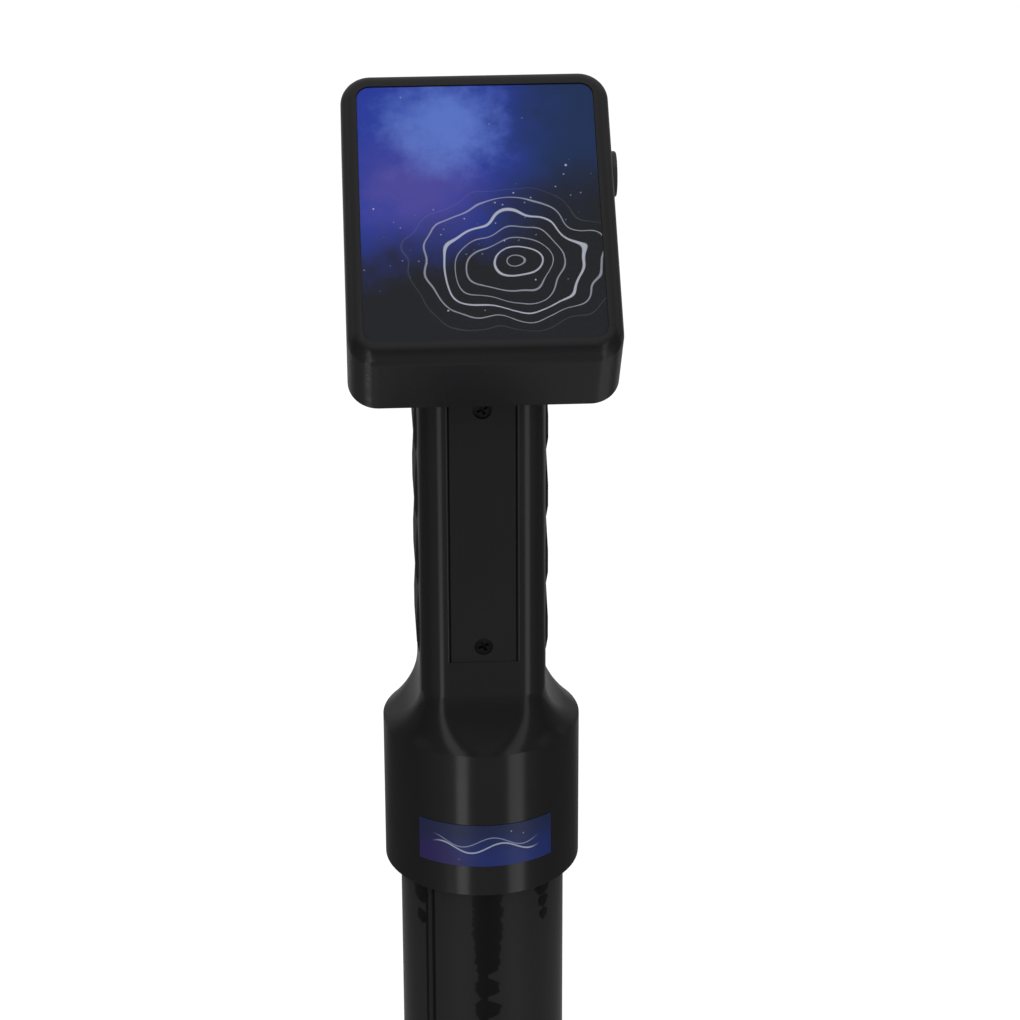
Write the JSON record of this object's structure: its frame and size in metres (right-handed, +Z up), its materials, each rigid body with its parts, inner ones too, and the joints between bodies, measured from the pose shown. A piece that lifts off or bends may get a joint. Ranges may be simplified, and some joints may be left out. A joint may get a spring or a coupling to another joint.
{
  "type": "ground scanner",
  "caption": "Upright hand-held ground scanner: leaning head with a printed face and side push button, grip with battery cover, and a long round sensor tube.",
  "frame": {"origin": "centre of the foot's bottom face", "axes": "+Z up along the tube, -Y towards the user, +X to the user's right"},
  "size_m": [0.0793, 0.0908, 0.7439],
  "materials": {
    "black_plastic": "satin",
    "soft_grip": "satin",
    "face_print": "gloss",
    "label_print": "gloss",
    "wrap_film": "gloss",
    "tube_plastic": "satin",
    "inner_plastic": "satin",
    "button_plastic": "satin",
    "screw_steel": "blackened",
    "insert_brass": "plain",
    "contact_metal": "nickel plated",
    "cell_wrap": "shrink film",
    "board_laminate": "satin",
    "chip_plastic": "matte",
    "connector_plastic": "satin",
    "wire_sleeve": "satin",
    "seal_rubber": "matte",
    "spacer_foam": "matte"
  },
  "bodies": {
    "scanner": {"head_case": "black_plastic", "head_back_cover": "black_plastic", "handle_body": "black_plastic", "battery_cover": "black_plastic", "tube_end_cap": "black_plastic", "rear_finger_grip": "soft_grip", "face_film": "face_print", "collar_label": "label_print", "tube_wrap": "wrap_film", "sensor_tube": "tube_plastic", "tube_top_plug": "inner_plastic", "sensor_carrier": "inner_plastic", "sensor_clamps": "inner_plastic", "lower_sensor": "inner_plastic", "upper_sensor": "inner_plastic", "power_button_body": "button_plastic", "power_button_base": "button_plastic", "battery_cover_screws": "screw_steel", "back_cover_screws": "screw_steel", "head_neck_screws": "screw_steel", "board_screws": "screw_steel", "tube_lock_screws": "screw_steel", "power_button_nut": "screw_steel", "power_button_spring": "screw_steel", "battery_cover_inserts": "insert_brass", "power_button_terminals": "insert_brass", "battery_contact_bottom": "contact_metal", "battery_contact_top": "contact_metal", "battery_cell": "cell_wrap", "main_board": "board_laminate", "board_chips": "chip_plastic", "radio_module": "chip_plastic", "board_connectors": "connector_plastic", "sensor_cable": "wire_sleeve", "battery_leads": "wire_sleeve", "switch_leads": "wire_sleeve", "end_cap_seal": "seal_rubber", "cable_grommet": "seal_rubber", "carrier_spacers": "spacer_foam"},
    "power_button": {"power_button_cap": "button_plastic"}
  },
  "joints": [
    {"name": "power_button_press", "type": "slide", "parent": "scanner", "child": "power_button", "axis": [-1, 0, 0], "range_m": [0, 0.0016], "stiffness_N_per_m": 600, "springref_m": -0.001, "deforming": ["power_button_spring"]}
  ]
}
